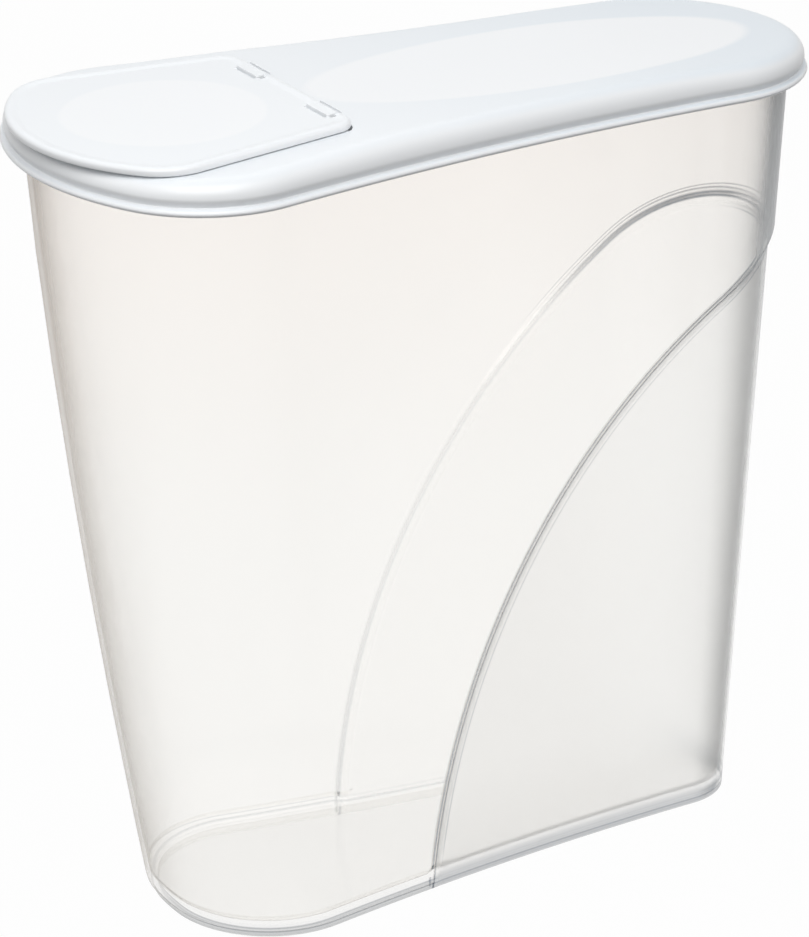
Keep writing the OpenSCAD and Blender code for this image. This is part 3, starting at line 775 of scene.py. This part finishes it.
def whitePolypropylene(name, dish, shade):
    # Moulded white polypropylene: a smooth satin gloss, faintly wavy, with a painted shade, a little bluer and darker,
    # on the upward faces outside the sunk oval
    look = whitePlastic
    material, tree = newMaterial(name)

    def remap(value, span, ends=(0.0, 1.0), kind="SMOOTHSTEP"):
        return addNode(tree, "ShaderNodeMapRange", {"interpolation_type": kind}, i0=value, i1=span[0], i2=span[1],
                       i3=ends[0], i4=ends[1]).outputs[0]

    def product(a, b):
        return addNode(tree, "ShaderNodeMath", {"operation": "MULTIPLY"}, i0=a, i1=b).outputs[0]

    coords = addNode(tree, "ShaderNodeTexCoord")
    place = coords.outputs["Object"]
    upward = addNode(tree, "ShaderNodeSeparateXYZ", i0=coords.outputs["Normal"]).outputs[2]
    middle = (dish["dishX"] * mm, dish["dishY"] * mm, 0)
    reach = (1 / (dish["dishLong"] * mm), 1 / (dish["dishWide"] * mm), 0)
    centred = addNode(tree, "ShaderNodeVectorMath", {"operation": "SUBTRACT"}, i0=place, i1=middle).outputs[0]
    scaled = addNode(tree, "ShaderNodeVectorMath", {"operation": "MULTIPLY"}, i0=centred, i1=reach).outputs[0]
    away = addNode(tree, "ShaderNodeVectorMath", {"operation": "LENGTH"}, i0=scaled).outputs["Value"]
    outside = remap(away, look["ovalSpan"])
    # Painted shade on upward faces outside the oval, which on the lid grows towards the rear end
    along = addNode(tree, "ShaderNodeSeparateXYZ", i0=place).outputs[0]
    amount = remap(along, [edge * mm for edge in look["shadeAlong"]], shade, "LINEAR")
    paintedDeckShade = product(remap(upward, look["upSpan"]), amount)
    tone = addNode(tree, "ShaderNodeMix", {"data_type": "RGBA"}, i0=product(outside, paintedDeckShade),
                   i6=linear(look["panel"]), i7=linear(look["deck"]))
    waves = addNode(tree, "ShaderNodeTexNoise", Vector=place, Scale=1 / (look["waveSize"] * mm), Detail=3.0)
    wavy = addNode(tree, "ShaderNodeBump", Height=waves.outputs[0], Strength=look["waveStrength"],
                   Distance=look["waveHeight"] * mm)
    shader = addNode(tree, "ShaderNodeBsdfPrincipled", Base_Color=tone.outputs[2], Roughness=look["roughness"],
                     IOR=look["IOR"], Normal=wavy.outputs[0])
    addNode(tree, "ShaderNodeOutputMaterial", Surface=shader.outputs[0])
    return material


tubShell = buildTub()
print("tub built")
lidShell = buildLid()
print("lid built")
flapPanel = buildFlap()
print("flap built")
tubPlastic = naturalPolypropylene()
lidPlastic = whitePolypropylene("lidPolypropyleneMoulded", lid, whitePlastic["lidShade"])
flapPlastic = whitePolypropylene("flapPolypropyleneMoulded", flap, whitePlastic["flapShade"])
print("materials made")

# Each piece stands for the CAD node that has the name of its body
for piece, body, plastic, slot in (
        (tubShell, "tub", tubPlastic, "natural_pp"),
        (lidShell, "lid", lidPlastic, "white_lid_pp"),
        (flapPanel, "flap", flapPlastic, "white_flap_pp")):
    piece.data.materials.append(plastic)
    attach(piece, body)
    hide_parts(body)
print("pieces placed on their bodies")

# The camera's place in metres, its axes, and its lens and frame width in mm
camera = dict(
    at=(-0.65015, -1.07490, 0.64918), right=(0.86117, -0.50823, 0.0095), up=(0.18751, 0.33499, 0.92338),
    ahead=(0.47246, 0.79340, -0.38378), lens=201.05, frameWidth=36, shiftX=0.0203,
    shiftY=-0.0031,
)


def placeCamera():
    data = bpy.data.cameras.new("camera")
    holder = bpy.data.objects.new("camera", data)
    scene.collection.objects.link(holder)
    axes = Matrix((camera["right"], camera["up"], -Vector(camera["ahead"]))).transposed().to_4x4()
    axes.translation = camera["at"]
    holder.matrix_world = axes
    data.sensor_width = camera["frameWidth"]
    data.sensor_fit = "HORIZONTAL"
    data.lens = camera["lens"]
    data.shift_x = camera["shiftX"]
    data.shift_y = camera["shiftY"]
    scene.camera = holder


placeCamera()
print("camera placed")

# Lamps: name, place and aim in metres, size, and power in watts. The floor reflects like its paint, but a camera,
# glossy or transmission ray sees mostly plain white, which leaves the object's shadow faint
studio = dict(
    floorHalf=3.0, floorPaint="#8c8c8c", floorWhite=0.985, worldLevel=0.34, white="#ffffff",
    lamps=(
        ("overheadLamp", (-0.3, -0.52, 1.12), (0, 0, 0.2), (1.0, 1.0), 9.6),
        ("backLamp", (0.15, 0.7, 1.0), (0, 0, 0.25), (0.9, 0.6), 1.0),
        ("leftLamp", (-1.4, 0.0, 0.6), (0, 0, 0.15), (0.9, 1.2), 1.8),
    ),
)


def areaLamp(name, at, aim, size, power):
    data = bpy.data.lights.new(name, "AREA")
    data.shape = "RECTANGLE"
    data.size, data.size_y = size
    data.energy = power
    data.color = linear(studio["white"])[:3]
    holder = bpy.data.objects.new(name, data)
    holder.location = at
    holder.rotation_euler = (Vector(aim) - Vector(at)).to_track_quat("-Z", "Y").to_euler()
    scene.collection.objects.link(holder)


# 1 where a camera, glossy or transmission ray looks, else 0
def lookedAt(tree):
    rays = addNode(tree, "ShaderNodeLightPath").outputs
    seen = rays["Is Camera Ray"]
    for kind in ("Is Glossy Ray", "Is Transmission Ray"):
        seen = addNode(tree, "ShaderNodeMath", {"operation": "MAXIMUM"}, i0=seen, i1=rays[kind]).outputs[0]
    return seen


def buildWorld():
    world = bpy.data.worlds.new("studioWorld")
    scene.world = world
    world.use_nodes = True
    tree = world.node_tree
    tree.nodes.clear()
    white = linear(studio["white"])
    dim = addNode(tree, "ShaderNodeBackground", Color=white, Strength=studio["worldLevel"])
    bright = addNode(tree, "ShaderNodeBackground", Color=white, Strength=1.0)
    both = addNode(tree, "ShaderNodeMixShader", i0=lookedAt(tree), i1=dim.outputs[0], i2=bright.outputs[0])
    addNode(tree, "ShaderNodeOutputWorld", Surface=both.outputs[0])


def buildFloor():
    bm = bmesh.new()
    bmesh.ops.create_grid(bm, x_segments=1, y_segments=1, size=studio["floorHalf"])
    mesh = bpy.data.meshes.new("floor")
    bm.to_mesh(mesh)
    bm.free()
    floor = bpy.data.objects.new("floor", mesh)
    scene.collection.objects.link(floor)
    material, tree = newMaterial("floorPaintedWhite")
    paint = addNode(tree, "ShaderNodeBsdfDiffuse", Color=linear(studio["floorPaint"]))
    glow = addNode(tree, "ShaderNodeEmission", Color=linear(studio["white"]), Strength=1.0)
    amount = addNode(tree, "ShaderNodeMath", {"operation": "MULTIPLY"}, i0=lookedAt(tree), i1=studio["floorWhite"])
    both = addNode(tree, "ShaderNodeMixShader", i0=amount.outputs[0], i1=paint.outputs[0], i2=glow.outputs[0])
    addNode(tree, "ShaderNodeOutputMaterial", Surface=both.outputs[0])
    mesh.materials.append(material)


buildWorld()
buildFloor()
for lamp in studio["lamps"]:
    areaLamp(*lamp)
print("stage built")

scene.view_settings.view_transform = "Standard"
